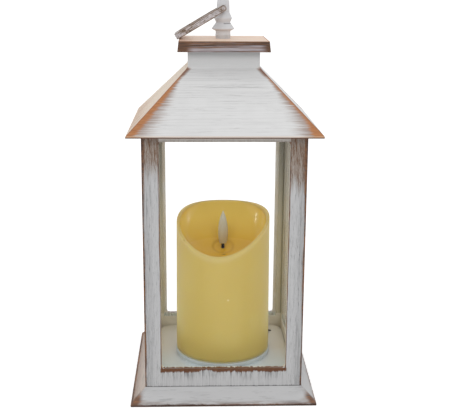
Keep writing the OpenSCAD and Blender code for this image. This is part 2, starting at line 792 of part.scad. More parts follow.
// Section of eave, slope and neck, with a round hollow where the slope turns up into the neck
module roof_outline() {
    tangent = neck_r * tan((90 - roof_angle) / 2);
    hollow_x = neck_w / 2 + neck_r;
    hollow_z = slope_top + tangent;
    difference() {
        union() {
            polygon(both_sides([[eave_w / 2, eave_z], [slope_w / 2, slope_z], [neck_w / 2, slope_top],
                [neck_w / 2, neck_top]]));
            polygon(both_sides([[neck_w / 2 + tangent * cos(roof_angle), slope_top - tangent * sin(roof_angle)],
                [hollow_x, hollow_z], [neck_w / 2, hollow_z]]));
        }
        for (side = [-1, 1]) translate([side * hollow_x, hollow_z]) circle(neck_r + hollow_bite);
    }
}

module roof_hollow() {
    neck_in = neck_w / 2 - roof_wall;
    polygon(both_sides([[eave_in, eave_z - over], [eave_in, eave_z],
        [neck_in, eave_z + (eave_in - neck_in) * tan(roof_angle)], [neck_in, neck_top - roof_wall]]));
}

module roof() color(white_paint) difference() {
    union() {
        difference() {
            four_sided(eave_w) roof_outline();
            four_sided(eave_w) roof_hollow();
        }
        intersection() {
            four_sided(eave_w) roof_outline();
            for (p = four(roof_boss_at, roof_boss_at))
                translate([p[0], p[1], top_plate_z]) cylinder(r = roof_boss_r, h = roof_rise);
        }
    }
    for (p = four(roof_boss_at, roof_boss_at))
        translate([p[0], p[1], top_plate_z]) screw_hole(main_screw, roof_screw_len, screw_gap);
    translate([0, 0, neck_top - roof_wall]) screw_hole(stem_screw, roof_wall + over, slide_gap);
}

module roof_screws() color(steel)
    for (p = four(roof_boss_at, roof_boss_at))
        translate([p[0], p[1], body_top]) screw(main_screw, top_plate_t + roof_screw_len - over);

module cap() color(worn_brown) difference() {
    four_sided(cap_w) polygon(both_sides([[cap_w / 2, cap_z], [cap_w / 2 - cap_taper / 2, cap_top]]));
    difference() {
        translate([0, 0, cap_z - over]) linear_extrude(cap_h - cap_wall + over)
            square(cap_w - 2 * cap_wall - cap_taper, center = true);
        translate([0, 0, cap_z]) linear_extrude(cap_h) difference() {
            square(rib_span, center = true);
            square(rib_span - 2 * rib_w, center = true);
        }
        translate([0, 0, cap_z]) cylinder(r = cap_boss_r, h = cap_h);
    }
    translate([0, 0, cap_z]) screw_hole(stem_screw, cap_h + over, slide_gap);
}

module finial_screw() color(steel)
    translate([0, 0, neck_top - roof_wall - washer[1]])
        screw(stem_screw, washer[1] + roof_wall + cap_h + finial_pilot - over);

module finial_washer() color(steel) translate([0, 0, neck_top - roof_wall - washer[1]]) difference() {
    cylinder(r = washer[0], h = washer[1]);
    screw_hole(stem_screw, washer[1] + over, slide_gap / 2);
}

// ---- Finial and handle ----

module finial() color("#D4D5D6") difference() {
    translate([0, 0, cap_top]) rotate_extrude() polygon(finial_profile);
    translate([0, 0, cap_top]) screw_hole(stem_screw, finial_pilot, screw_gap);
    translate([0, 0, pivot_z]) rotate([90, 0, 0])
        cylinder(r = stub_r + pin_gap, h = 4 * post_r, center = true);
}

// Handle lying along +X from its pivot, with its pins along Y
module handle_flat() {
    half = handle_w / 2;
    straight = handle_len - loop_r;
    arm_y = arm_in + arm_w;
    linear_extrude(handle_t, center = true) difference() {
        union() {
            polygon([[0, -arm_y], [0, arm_y], [arm_start, arm_y], [arm_flare, half], [straight, half],
                [straight, -half], [arm_flare, -half], [arm_start, -arm_y]]);
            translate([straight, 0]) square([2 * loop_r, handle_w - 2 * loop_r], center = true);
            for (side = [-1, 1]) translate([straight, side * (half - loop_r)]) circle(loop_r);
        }
        polygon([[-over, -arm_in], [-over, arm_in], [arm_start + 1, arm_in], [arm_flare + 1, half - arm_w],
            [straight, half - arm_w], [handle_len - arm_w, half - loop_r],
            [handle_len - arm_w, loop_r - half], [straight, arm_w - half],
            [arm_flare + 1, arm_w - half], [arm_start + 1, -arm_in]]);
    }
    for (side = [-1, 1]) rotate([90, 0, 0]) {
        translate([0, 0, side * (arm_in + arm_w / 2)]) cylinder(d = handle_t, h = arm_w, center = true);
        translate([0, 0, side * (arm_in + arm_w / 2 - stub_len)])
            cylinder(r = stub_r, h = arm_w, center = true);
    }
}

module handle() color(worn_brown)
    translate([0, 0, pivot_z]) rotate([0, handle_angle, 180]) handle_flat();

base();
bottom_plate();
bottom_plate_screws();
battery_door();
batteries();
battery_contacts();
circuit_board();
timer_chip();
board_screws();
switch_body();
switch_slider();
battery_leads();
led_leads();
candle_base();
candle_screws();
candle_shell();
candle_bowl();
wick();
flame();
led();
front_frame();
back_frame();
left_frame();
right_frame();
front_pane();
back_pane();
left_pane();
right_pane();
base_screws();
top_plate();
frame_screws();
roof();
roof_screws();
cap();
finial();
finial_screw();
finial_washer();
handle();
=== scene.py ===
"""Looks of a square candle lantern with a flameless pillar candle.

The sections follow the lantern from its foot to its handle. Lengths are in metres.
"""

import json
import math

import bpy
from mathutils import Matrix, Vector


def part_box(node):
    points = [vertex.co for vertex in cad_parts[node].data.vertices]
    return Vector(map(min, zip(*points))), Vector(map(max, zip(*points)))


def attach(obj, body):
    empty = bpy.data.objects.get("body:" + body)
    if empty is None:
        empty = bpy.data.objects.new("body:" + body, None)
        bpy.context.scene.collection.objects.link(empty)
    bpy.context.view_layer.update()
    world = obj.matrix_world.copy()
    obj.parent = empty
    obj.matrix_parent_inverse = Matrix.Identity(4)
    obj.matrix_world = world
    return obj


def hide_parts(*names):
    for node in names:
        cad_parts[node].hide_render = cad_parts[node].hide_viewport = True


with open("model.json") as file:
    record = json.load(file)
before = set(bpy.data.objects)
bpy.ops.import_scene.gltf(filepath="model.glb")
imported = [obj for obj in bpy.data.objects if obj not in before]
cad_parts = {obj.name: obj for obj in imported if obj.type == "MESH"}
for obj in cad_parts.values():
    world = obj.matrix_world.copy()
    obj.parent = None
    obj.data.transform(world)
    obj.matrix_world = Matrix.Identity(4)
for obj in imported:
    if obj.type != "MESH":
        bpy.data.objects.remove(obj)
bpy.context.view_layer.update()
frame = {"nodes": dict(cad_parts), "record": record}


# ---- Plinth ----
# The plinth is a hollow moulding with wood grain in its surface, copper-brown all through. White paint is
# dragged over it with a dry brush and rubbed off along the foot and the mitred corners. Its raised middle
# is the candle's floor, which is left pale and has one small hole.

mm = 0.001
foot_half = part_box("base")[1].x
foot_lip = 1.5 * mm
side_lean = 1.05
paint_depth = 1.6 * mm
floor_low = 12 * mm
floor_hole_x = 42.4 * mm
floor_hole_y = 40.7 * mm
floor_hole_r = 2.0 * mm


def colour(code):
    """Linear colour with alpha for a six-digit colour code."""
    parts = [int(code[i : i + 2], 16) / 255 for i in (0, 2, 4)]
    linear = [p / 12.92 if p <= 0.04045 else ((p + 0.055) / 1.055) ** 2.4 for p in parts]
    return (*linear, 1.0)


class Finish:
    """One material, whose nodes are laid down step by step."""

    def __init__(self, name):
        self.material = bpy.data.materials.new(name)
        self.material.use_nodes = True
        self.tree = self.material.node_tree
        self.shader = self.tree.nodes["Principled BSDF"]
        around = self.add("ShaderNodeTexCoord")
        self.place = around.outputs["Object"]
        self.facing = around.outputs["Normal"]
        self.x, self.y, self.z = self.add("ShaderNodeSeparateXYZ", Vector=self.place).outputs

    def add(self, kind, settings=None, **inputs):
        """A node with its settings and its inputs, given by name or as in0, in1 and so on."""
        node = self.tree.nodes.new(kind)
        for name, value in (settings or {}).items():
            setattr(node, name, value)
        for name, value in inputs.items():
            at = int(name[2:]) if name[:2] == "in" and name[2:].isdigit() else name.replace("_", " ")
            self.put(node.inputs[at], value)
        return node

    def put(self, socket, value):
        """Links or sets a socket."""
        if isinstance(value, bpy.types.NodeSocket):
            self.tree.links.new(value, socket)
        else:
            socket.default_value = value

    def math(self, operation, *values):
        inputs = {f"in{i}": value for i, value in enumerate(values)}
        return self.add("ShaderNodeMath", {"operation": operation}, **inputs).outputs[0]

    def times(self, first, *others):
        for other in others:
            first = self.math("MULTIPLY", first, other)
        return first

    def plus(self, first, *others):
        for other in others:
            first = self.math("ADD", first, other)
        return first

    def minus(self, first, second):
        return self.math("SUBTRACT", first, second)

    def most(self, first, *others):
        for other in others:
            first = self.math("MAXIMUM", first, other)
        return first

    def above(self, value, limit):
        """1 where value is greater than limit, else 0."""
        return self.math("GREATER_THAN", value, limit)

    def below(self, value, limit):
        """1 where value is less than limit, else 0."""
        return self.math("LESS_THAN", value, limit)

    def size(self, value):
        return self.math("ABSOLUTE", value)

    def distance(self, one, other):
        """Length of two offsets that are square to each other."""
        return self.math("SQRT", self.plus(self.times(one, one), self.times(other, other)))

    def step(self, value, low, high, start=0.0, end=1.0):
        """A smooth step from start to end as value goes from low to high."""
        inputs = dict(in0=value, in1=low, in2=high, in3=start, in4=end)
        return self.add("ShaderNodeMapRange", {"interpolation_type": "SMOOTHSTEP"}, **inputs).outputs[0]

    def drop(self, value, low, high, top=1.0):
        """A smooth step down from top to 0 as value goes from low to high."""
        return self.step(value, low, high, top, 0.0)

    def band(self, value, middle, inner, outer, top=1.0):
        """Top within inner of the middle, and down to 0 at outer."""
        return self.drop(self.size(self.minus(value, middle)), inner, outer, top)

    def noise(self, place, scale=1.0, detail=3.0, rough=0.55):
        node = self.add("ShaderNodeTexNoise", Vector=place, Scale=scale, Detail=detail, Roughness=rough)
        return node.outputs["Fac"]

    def streaks(self, along, across, drag, grain, seed, detail=3.0, rough=0.6):
        """Noise drawn out like brush strokes: drag and grain are its waves per metre along and across."""
        place = self.add("ShaderNodeCombineXYZ", in0=self.times(along, drag), in1=self.times(across, grain),
                         in2=seed)
        return self.noise(place.outputs[0], detail=detail, rough=rough)

    def sway(self, noise, *amounts):
        """Noise taken about its middle value, times the amounts."""
        return self.times(self.minus(noise, 0.5), *amounts)

    def mix(self, share, first, second):
        """Colour between first and second."""
        node = self.add("ShaderNodeMix", {"data_type": "RGBA"}, in0=share, in6=first, in7=second)
        return node.outputs[2]

    def blend(self, share, first, second):
        """Number between first and second."""
        return self.add("ShaderNodeMix", {"data_type": "FLOAT"}, in0=share, in2=first, in3=second).outputs[0]

    def surface(self, base, rough, bump=None, depth=0.2 * mm, **plain):
        """Puts colour, roughness and relief on the shader, and plain values on its own sockets."""
        self.put(self.shader.inputs["Base Color"], base)
        self.put(self.shader.inputs["Roughness"], rough)
        if bump is not None:
            relief = self.add("ShaderNodeBump", Height=bump, Distance=depth, Strength=1.0)
            self.put(self.shader.inputs["Normal"], relief.outputs["Normal"])
        for name, value in plain.items():
            self.put(self.shader.inputs[name.replace("_", " ")], value)
        return self.material


def dress(piece, material, edge=0.0):
    """Gives a CAD piece its material, and softens its edges by that radius."""
    mesh = piece.data
    mesh.materials.clear()
    mesh.materials.append(material)
    if edge:
        weld = piece.modifiers.new("weld", "WELD")
        weld.merge_threshold = 0.001 * mm
        bevel = piece.modifiers.new("edge", "BEVEL")
        bevel.width = edge
        bevel.segments = 2
        bevel.limit_method = "ANGLE"
        bevel.angle_limit = math.radians(35)
        bevel.harden_normals = True
        bevel.use_clamp_overlap = False


PAINT = colour("D2D2D3")
PAINT_SHADE = colour("5E5E60")
SHADE_LEAST = 0.18
WOOD = colour("8C6040")
WOOD_DARK = colour("4A2F20")


def wall_place(finish):
    """On a four-sided piece: the place along its side, the distance out, a number of its own for each side,
    and 1 on the front and back."""
    wide = finish.size(finish.x)
    deep = finish.size(finish.y)
    front = finish.above(deep, wide)
    along = finish.blend(front, finish.y, finish.x)
    out = finish.most(wide, deep)
    towards = finish.math("SIGN", finish.blend(front, finish.x, finish.y))
    side = finish.times(finish.plus(towards, finish.times(front, 3.0)), 3.7)
    return along, out, side, front


def left_side(finish):
    """1 on the left side of a four-sided piece, else 0."""
    return finish.below(finish.x, finish.times(finish.size(finish.y), -1.0))


def worn_edge(finish, distance, core, reach, strokes, soft=0.7 * mm):
    """Bare wood colour within core of an edge, and strokes of it that thin out over reach beyond."""
    beyond = finish.minus(distance, core)
    solid = finish.drop(beyond, 0.0, soft)
    fade = finish.drop(beyond, 0.0, reach)
    stroke = finish.step(finish.plus(strokes, finish.times(fade, 0.2)), 0.6, 0.76)
    return finish.most(solid, finish.times(fade, stroke))


def plinth_paint():
    finish = Finish("plinth_paint")
    along, out, side, front = wall_place(finish)
    left = left_side(finish)
    strokes = finish.streaks(along, finish.z, drag=40.0, grain=800.0, seed=side, detail=4.0, rough=0.65)
    lines = finish.streaks(along, finish.z, drag=70.0, grain=1000.0, seed=finish.plus(side, 20.0), detail=4.0,
                           rough=0.7)
    broad = finish.streaks(along, finish.z, drag=18.0, grain=160.0, seed=finish.plus(side, 30.0))
    blotch = finish.noise(finish.place, 230.0)

    # wear at the mitred corners, which widens towards the foot
    foot_edge = 1.0 * mm
    corner_top = 8.5 * mm
    from_corner = finish.minus(out, finish.size(along))
    low = finish.drop(finish.z, foot_edge, corner_top)
    core = finish.times(low, finish.blend(front, 2.0 * mm, 3.0 * mm))
    corner_reach = finish.plus(0.8 * mm, finish.times(low, 9 * mm))
    ragged = finish.plus(from_corner, finish.sway(broad, 5 * mm))
    at_corner = worn_edge(finish, ragged, core, corner_reach, strokes, soft=4.5 * mm)
    corner_fade = finish.step(finish.z, 5 * mm, 10 * mm, 0.95, 0.1)
    at_corner = finish.times(at_corner, corner_fade)

    # a bare line along the foot, with rubbed strokes over it
    foot_line = 1.6 * mm
    strokes_top = 4.2 * mm
    foot_height = finish.plus(foot_line, finish.times(left, 1.3 * mm), finish.sway(blotch, 1.4 * mm))
    at_foot = finish.drop(finish.minus(finish.z, foot_height), -0.3 * mm, 0.7 * mm)
    above_foot = finish.times(finish.drop(finish.z, foot_edge, strokes_top, 0.8),
                              finish.step(lines, 0.34, 0.56))
    worn = finish.most(at_corner, at_foot, above_foot)

    # white paint with a little grey grain, a cream left side that is partly rubbed paint and partly painted
    # sheen, and tinted near the corners
    grain = finish.step(lines, 0.52, 0.7, 0.0, 0.3)
    shade = finish.plus(grain, finish.step(broad, 0.45, 0.75, 0.0, 0.12))
    rubbed = finish.drop(finish.plus(finish.z, finish.times(broad, 5 * mm)), 3.5 * mm, 11.5 * mm, 0.62)
    sheen_cream = finish.mix(rubbed, colour("D6C6BA"), colour("8A5F42"))
    white = finish.mix(left, PAINT, sheen_cream)
    paint = finish.mix(finish.plus(shade, SHADE_LEAST), white, PAINT_SHADE)
    paint = finish.mix(finish.step(blotch, 0.69, 0.76, 0.0, 0.5), paint, colour("6B655F"))
    tint_reach = finish.plus(finish.times(low, 14 * mm), 1 * mm)
    tint = finish.times(finish.drop(finish.minus(from_corner, core), 0.0, tint_reach),
                        finish.step(strokes, 0.38, 0.62), finish.step(finish.z, 3 * mm, 11 * mm, 0.75, 0.15))
    paint = finish.mix(tint, paint, colour("8A6E58"))
    wood = finish.mix(finish.step(strokes, 0.35, 0.65), WOOD_DARK, WOOD)
    # near-black wood along the very foot: painted shade where the plinth meets the floor
    wood = finish.mix(finish.drop(finish.z, foot_edge, 2.2 * mm, 0.8), wood, colour("33211A"))
    outside = finish.mix(worn, paint, wood)

    # the bare underside, and the candle's floor with its hole, whose wall is painted dark as shade
    bare = finish.noise(finish.place, 45.0)
    side_out = finish.minus(foot_half, finish.times(finish.minus(finish.z, foot_lip), side_lean))
    depth = finish.minus(side_out, out)
    inside = finish.mix(finish.step(bare, 0.35, 0.65), colour("80502F"), colour("95613D"))
    base = finish.mix(finish.above(depth, paint_depth), outside, inside)
    warm_from = -38 * mm
    warm_to = 12 * mm
    pale = finish.mix(finish.step(finish.y, warm_from, warm_to), colour("DEE9EE"), colour("DFDBD1"))
    candle_floor = finish.mix(finish.step(bare, 0.55, 0.75, 0.0, 0.25), pale, colour("CCC4B2"))
    from_hole = finish.distance(finish.minus(finish.x, floor_hole_x), finish.minus(finish.y, floor_hole_y))
    # painted shade on the wall of the small hole
    hole_shade = finish.drop(from_hole, floor_hole_r - 0.08 * mm, floor_hole_r + 0.1 * mm)
    candle_floor = finish.mix(hole_shade, candle_floor, colour("2B2723"))
    base = finish.mix(finish.above(finish.z, floor_low), base, candle_floor)
    height = finish.minus(finish.times(lines, 0.5), worn)
    return finish.surface(base, finish.blend(worn, 0.48, 0.62), height, depth=0.12 * mm)


dress(frame["nodes"]["base"], plinth_paint(), edge=0.35 * mm)


# ---- Bottom plate and battery door ----
# Both are plain warm-white mouldings with the fine spark texture of an unpolished mould. The door
# hangs on two trunnions, and four countersunk screws hold the plate.


def moulded(name, shade, rough=0.5, spark=900.0, depth=0.04 * mm):
    """Moulded plastic with a fine mould texture and a little mottling."""
    finish = Finish(name)
    mottle = finish.noise(finish.place, 35.0)
    fine = finish.noise(finish.place, spark, detail=2.0)
    dark = tuple(c * 0.9 for c in shade[:3]) + (1.0,)
    base = finish.mix(finish.step(mottle, 0.3, 0.7), dark, shade)
    return finish.surface(base, finish.step(fine, 0.2, 0.8, rough - 0.06, rough + 0.06), fine, depth)


bare_plastic = moulded("bare_plastic", colour("D6D0C2"))
dress(frame["nodes"]["bottom_plate"], bare_plastic)
dress(frame["nodes"]["battery_door"], bare_plastic, edge=0.2 * mm)


# ---- Screws ----
# All screws are zinc-plated steel with a cross recess. They hold the bottom plate, the board, the candle,
# the frames, the roof and the finial, the last with a washer under the head.


def turned_metal(name, shade, rough):
    """Metal with fine rings left by turning and a slight tarnish."""
    finish = Finish(name)
    rings = finish.noise(finish.place, 1800.0, detail=2.0)
    tarnish = finish.noise(finish.place, 120.0, detail=4.0)
    dark = tuple(c * 0.72 for c in shade[:3]) + (1.0,)
    base = finish.mix(finish.step(tarnish, 0.4, 0.7), shade, dark)
    gloss = finish.step(rings, 0.2, 0.8, rough - 0.08, rough + 0.1)
    return finish.surface(base, gloss, rings, depth=0.01 * mm, Metallic=1.0)


zinc = turned_metal("zinc", colour("C9CBCB"), 0.34)
for name in ("bottom_plate_screws", "board_screws", "candle_screws", "base_screws", "frame_screws",
             "roof_screws", "finial_screw", "finial_washer"):
    dress(frame["nodes"][name], zinc)


# ---- Batteries and contacts ----
# Three slim cells lie between nickel-plated contact plates, with leaf springs at their flat ends.
# The cells wear a plain film sleeve with a bare steel end and button.


def cell_sleeve():
    finish = Finish("cell_sleeve")
    bare_end = 1.3 * mm
    ends = finish.above(finish.size(finish.x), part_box("batteries")[1].x - bare_end)
    mottle = finish.noise(finish.place, 80.0, detail=2.0)
    film = finish.mix(finish.step(mottle, 0.3, 0.7), colour("3E4A56"), colour("4B5967"))
    base = finish.mix(ends, film, colour("C8C9C8"))
    return finish.surface(base, finish.blend(ends, 0.28, 0.35), mottle, depth=0.02 * mm)


dress(frame["nodes"]["batteries"], cell_sleeve())
nickel = turned_metal("nickel", colour("D2D0C8"), 0.28)
dress(frame["nodes"]["battery_contacts"], nickel)


# ---- Circuit board, switch and leads ----
# A small green board hangs under the candle floor. It carries the timer chip and, on its under side,
# the slide switch, whose black knob comes through the bottom plate. Red leads run to cells and lamp.


def board_mask():
    finish = Finish("board_mask")
    bricks = finish.add("ShaderNodeTexBrick", Vector=finish.place, Scale=240.0, Mortar_Size=0.03)
    tracks = bricks.outputs["Fac"]
    base = finish.mix(finish.times(tracks, 0.5), colour("2C6B3E"), colour("4E8C5A"))
    return finish.surface(base, 0.3, tracks, depth=0.03 * mm)


dress(frame["nodes"]["circuit_board"], board_mask())
dress(frame["nodes"]["switch_body"], nickel)
black_plastic = moulded("black_plastic", colour("1B1B1C"), 0.45)
for name in ("timer_chip", "switch_slider"):
    dress(frame["nodes"][name], black_plastic)
lead_sleeve = moulded("lead_sleeve", colour("A52A22"), 0.42)
for name in ("battery_leads", "led_leads"):
    dress(frame["nodes"][name], lead_sleeve)


# ---- Candle ----
# The candle is a hollow shell of ivory plastic that looks like wax, on a pale foot ring. Its rim arches up
# at the back and dips at the front, with the rounded lip of melted wax. A glossy amber bowl is moulded
# into it, with a shallow pool round the wick.

ring_low, ring_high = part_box("candle_base")
shell_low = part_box("candle_shell")[0]
flame_low, flame_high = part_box("flame")
candle_x = (ring_low.x + ring_high.x) / 2
candle_r = 37.5 * mm
shell_t = 2.3 * mm
narrowing = 0.7 / 111.5
rim_z = shell_low.z + 108.5 * mm
rim_arch = 98 * mm
rim_turn = (Matrix.Rotation(math.radians(-9), 3, "Z") @ Matrix.Rotation(math.radians(-0.4), 3, "Y")
            @ Matrix.Rotation(math.radians(19.5), 3, "X"))
lip_out = 0.5 * mm
lip_in = 0.7 * mm
bowl_z = flame_low.z - 3.6 * mm
bowl_r = 60 * mm
bowl_tilt = math.radians(20)
bowl_t = 1.5 * mm
bowl_lap = 0.03 * mm
bowl_below_rim = 0.35 * mm
fillet_least = 1.5 * mm
fillet_most = 10 * mm
pool_r = 7.4 * mm
pool_slope = 1.6 * mm
pool_depth = 0.45 * mm
wick_hole_r = 1.3 * mm
candle_turns = 192
wall_steps = 24
lip_steps = 6
hollow_steps = 12
bowl_steps = 56


def candle_radius(z):
    """Outer radius of the slightly tapered shell."""
    return candle_r - (z - shell_low.z) * narrowing


def rim_height(x, y):
    """Height of the arched rim cut above a place beside the candle's axis."""
    axis = rim_turn @ Vector((1, 0, 0))
    start = Vector((x, y, -rim_z)) - rim_turn @ Vector((0, 0, -rim_arch))
    level = start - start.dot(axis) * axis
    upward = Vector((0, 0, 1)) - axis.z * axis
    a, b, c = upward.dot(upward), 2 * level.dot(upward), level.dot(level) - rim_arch**2
    return (-b + math.sqrt(max(b * b - 4 * a * c, 0.0))) / (2 * a)


def bowl_height(x, y):
    """Height of the bowl's ball-shaped hollow, with the shallow pool round the wick."""
    across = y + bowl_r * math.sin(bowl_tilt)
    ball = bowl_z + bowl_r * math.cos(bowl_tilt) - math.sqrt(bowl_r**2 - x * x - across**2)
    away = (math.hypot(x, y) - pool_r) / pool_slope
    return ball - pool_depth * (1 - min(max(away, 0.0), 1.0)) ** 2


def rounded(corner, before, after, reach):
    """Points of a round corner between the directions of two neighbouring points."""
    start = corner + (before - corner).normalized() * reach
    end = corner + (after - corner).normalized() * reach
    points = []
    for i in range(lip_steps + 1):
        t = i / lip_steps
        points.append(start * (1 - t) ** 2 + corner * 2 * t * (1 - t) + end * t * t)
    return points


def turned(name, outline_at, material, node):
    """A closed piece round the candle's axis whose outline of radius and height varies with the angle."""
    columns = []
    for i in range(candle_turns):
        angle = 2 * math.pi * i / candle_turns
        east, north = math.cos(angle), math.sin(angle)
        columns.append([(candle_x + r * east, r * north, z) for r, z in outline_at(east, north)])
    rows = len(columns[0])
    faces = []
    for i in range(candle_turns):
        for j in range(rows):
            here, there = i * rows, (i + 1) % candle_turns * rows
            faces.append((here + j, there + j, there + (j + 1) % rows, here + (j + 1) % rows))
    mesh = bpy.data.meshes.new(name)
    mesh.from_pydata([point for column in columns for point in column], [], faces)
    mesh.polygons.foreach_set("use_smooth", [True] * len(faces))
    mesh.materials.append(material)
    piece = bpy.data.objects.new(name, mesh)
    bpy.context.scene.collection.objects.link(piece)
    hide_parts(node)
    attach(piece, "lantern")


def shell_outline(east, north):
    """Radius and height round the shell's wall, from its foot up over the lip and down inside."""
    outer_r = candle_radius(rim_height(candle_r * east, candle_r * north))
    inner_r = outer_r - shell_t
    outer = Vector((outer_r, rim_height(outer_r * east, outer_r * north)))
    inner = Vector((inner_r, rim_height(inner_r * east, inner_r * north)))
    foot_out = Vector((candle_r, shell_low.z))
    foot_in = Vector((candle_r - shell_t, shell_low.z))
    lip = rounded(outer, foot_out, inner, lip_out) + rounded(inner, outer, foot_in, lip_in)
    wall = [foot_out.lerp(lip[0], i / wall_steps) for i in range(wall_steps)]
    hollow = [lip[-1].lerp(foot_in, i / hollow_steps) for i in range(1, hollow_steps + 1)]
    return [tuple(point) for point in wall + lip + hollow]


def bowl_outline(east, north):
    """Radius and height over the bowl from the wick's hole out to the shell, and back underneath."""
    wall_r = candle_radius(rim_height(candle_r * east, candle_r * north)) - shell_t + bowl_lap
    wall_h = rim_height(wall_r * east, wall_r * north)
    drop = wall_h - bowl_height(wall_r * east, wall_r * north)
    fillet = min(max(0.75 * drop, fillet_least), fillet_most)
    soft = 0.5 * mm
    top = []
    for i in range(bowl_steps + 1):
        r = wick_hole_r + (wall_r - wick_hole_r) * (1 - (1 - i / bowl_steps) ** 1.6)
        height = bowl_height(r * east, r * north)
        if wall_r - r < fillet:
            height += fillet - math.sqrt(max(fillet**2 - (fillet - wall_r + r) ** 2, 0.0))
        limit = rim_height(r * east, r * north) - bowl_below_rim
        gap = (height - limit) / soft
        height = limit - soft * math.log(1 + math.exp(-gap)) if gap > -30 else height
        top.append((r, height))
    under = [(r, height - bowl_t) for r, height in top[::-4]]
    return top + under


def from_rim(finish):
    """Depth below the arched rim cut, square to it."""
    start = Vector((candle_x, 0, rim_z)) - rim_turn @ Vector((0, 0, rim_arch))
    away = finish.add("ShaderNodeVectorMath", {"operation": "SUBTRACT"}, in0=finish.place, in1=start)
    across = finish.add("ShaderNodeVectorMath", {"operation": "CROSS_PRODUCT"}, in0=away.outputs[0],
                        in1=rim_turn @ Vector((1, 0, 0)))
    length = finish.add("ShaderNodeVectorMath", {"operation": "LENGTH"}, in0=across.outputs[0])
    return finish.minus(rim_arch, length.outputs["Value"])


def candle_wax():
    finish = Finish("candle_wax")
    cloud = finish.noise(finish.place, 22.0)
    fine = finish.noise(finish.place, 420.0, detail=2.0)
    high = finish.step(finish.z, shell_low.z, rim_z)
    base = finish.mix(finish.step(cloud, 0.3, 0.7), colour("D9C068"), colour("DDC772"))
    # painted shade: darker, deeper yellow towards the rim
    base = finish.mix(finish.times(high, 0.4), base, colour("D8B457"))

    # painted shade deepening the colour towards the foot, a pale line along the foot that is a painted
    # highlight, and a pale lip, partly the thin wax and partly a painted highlight on the rounded rim
    foot_shade_high = 26 * mm
    foot_highlight_high = 1.3 * mm
    foot_shade = finish.drop(finish.z, shell_low.z, shell_low.z + foot_shade_high, 0.5)
    base = finish.mix(foot_shade, base, colour("BFA352"))
    foot_line = finish.drop(finish.z, shell_low.z + 0.7 * mm, shell_low.z + foot_highlight_high, 0.8)
    base = finish.mix(foot_line, base, colour("FBF6D6"))
    lip = finish.drop(from_rim(finish), 0.3 * mm, 3.2 * mm, 0.12)
    base = finish.mix(lip, base, colour("F6F4DC"))

    # a few dark and pale specks
    dark_specks = finish.step(finish.noise(finish.place, 230.0, detail=1.0), 0.765, 0.79)
    pale_specks = finish.step(finish.noise(finish.place, 310.0, detail=1.0), 0.785, 0.8)
    base = finish.mix(finish.times(dark_specks, 0.5), base, colour("9C7B33"))
    base = finish.mix(finish.times(pale_specks, 0.7), base, colour("FFF7DA"))
    return finish.surface(base, 0.38, fine, depth=0.03 * mm, Subsurface_Weight=0.3, Specular_IOR_Level=0.35,
                          Subsurface_Radius=(7 * mm, 4.5 * mm, 1.5 * mm), Subsurface_Scale=1.0)


def bowl_resin():
    finish = Finish("bowl_resin")
    cloud = finish.noise(finish.place, 30.0)
    wave = finish.noise(finish.place, 60.0, detail=2.0)
    deep = finish.step(finish.z, bowl_z - 3 * mm, bowl_z + 20 * mm)
    base = finish.mix(deep, colour("E6B632"), colour("F4D164"))
    base = finish.mix(finish.step(cloud, 0.4, 0.7, 0.0, 0.35), base, colour("EBC655"))

    # a darker ring where the pool ends, a pale rim that is a painted highlight, and a few specks
    pool_ring_r = 8.2 * mm
    level = finish.add("ShaderNodeCombineXYZ", in0=finish.minus(finish.x, candle_x), in1=finish.y)
    length = finish.add("ShaderNodeVectorMath", {"operation": "LENGTH"}, in0=level.outputs[0])
    pool = finish.band(length.outputs["Value"], pool_ring_r, 0.1 * mm, 1.8 * mm, 0.28)
    base = finish.mix(pool, base, colour("A87A26"))
    base = finish.mix(finish.drop(from_rim(finish), 0.2 * mm, 1.4 * mm, 0.3), base, colour("FFE594"))
    specks = finish.step(finish.noise(finish.place, 260.0, detail=1.0), 0.77, 0.79)
    base = finish.mix(finish.times(specks, 0.5), base, colour("7A5A22"))

    # a short dark slit in the floor of the bowl, in front of the wick: painted shade for the slot, which the
    # turned bowl leaves uncut
    slit_x = candle_x + 0.5 * mm
    slit_front = 11 * mm
    slit_half = 1.3 * mm
    slit_t = 0.4 * mm
    beside = finish.minus(finish.x, slit_x)
    before = finish.plus(finish.y, slit_front)
    slot_shade = finish.times(finish.below(finish.size(beside), slit_half),
                        finish.below(finish.size(before), slit_t))
    base = finish.mix(slot_shade, base, colour("1E160C"))
    rough = finish.step(finish.z, bowl_z, bowl_z + 12 * mm, 0.36, 0.12)
    return finish.surface(base, rough, wave, depth=0.1 * mm, Subsurface_Weight=0.1, Specular_IOR_Level=0.3,
                          Subsurface_Radius=(4 * mm, 3 * mm, 1 * mm), Subsurface_Scale=1.0)


turned("shell_wall", shell_outline, candle_wax(), "candle_shell")
turned("bowl_surface", bowl_outline, bowl_resin(), "candle_bowl")
foot_plastic = moulded("foot_ring", colour("CBD3D6"), 0.4)
dress(frame["nodes"]["candle_base"], foot_plastic, edge=0.4 * mm)


# ---- Wick and flame ----
# The wick is a blackened stub that stands in the bowl's hole. The flame is a frosted bullet with the
# lamp inside it, a little paler towards its tip.


def frosted():
    finish = Finish("frosted")
    fine = finish.noise(finish.place, 800.0, detail=2.0)
    cloud = finish.noise(finish.place, 200.0, detail=2.0)
    high = finish.step(finish.z, flame_low.z, flame_high.z)
    base = finish.mix(high, colour("BDAF88"), colour("C8C5B2"))
    base = finish.mix(finish.step(cloud, 0.4, 0.7, 0.0, 0.3), base, colour("B5AE94"))
    return finish.surface(base, 0.5, fine, depth=0.03 * mm, Subsurface_Weight=0.3,
                          Subsurface_Radius=(3 * mm, 2.5 * mm, 1.5 * mm), Subsurface_Scale=1.0)


charred = moulded("charred", colour("080606"), 0.9, spark=500.0, depth=0.2 * mm)
dress(frame["nodes"]["wick"], charred)
frost = frosted()
for name in ("led", "flame"):
    dress(frame["nodes"][name], frost)


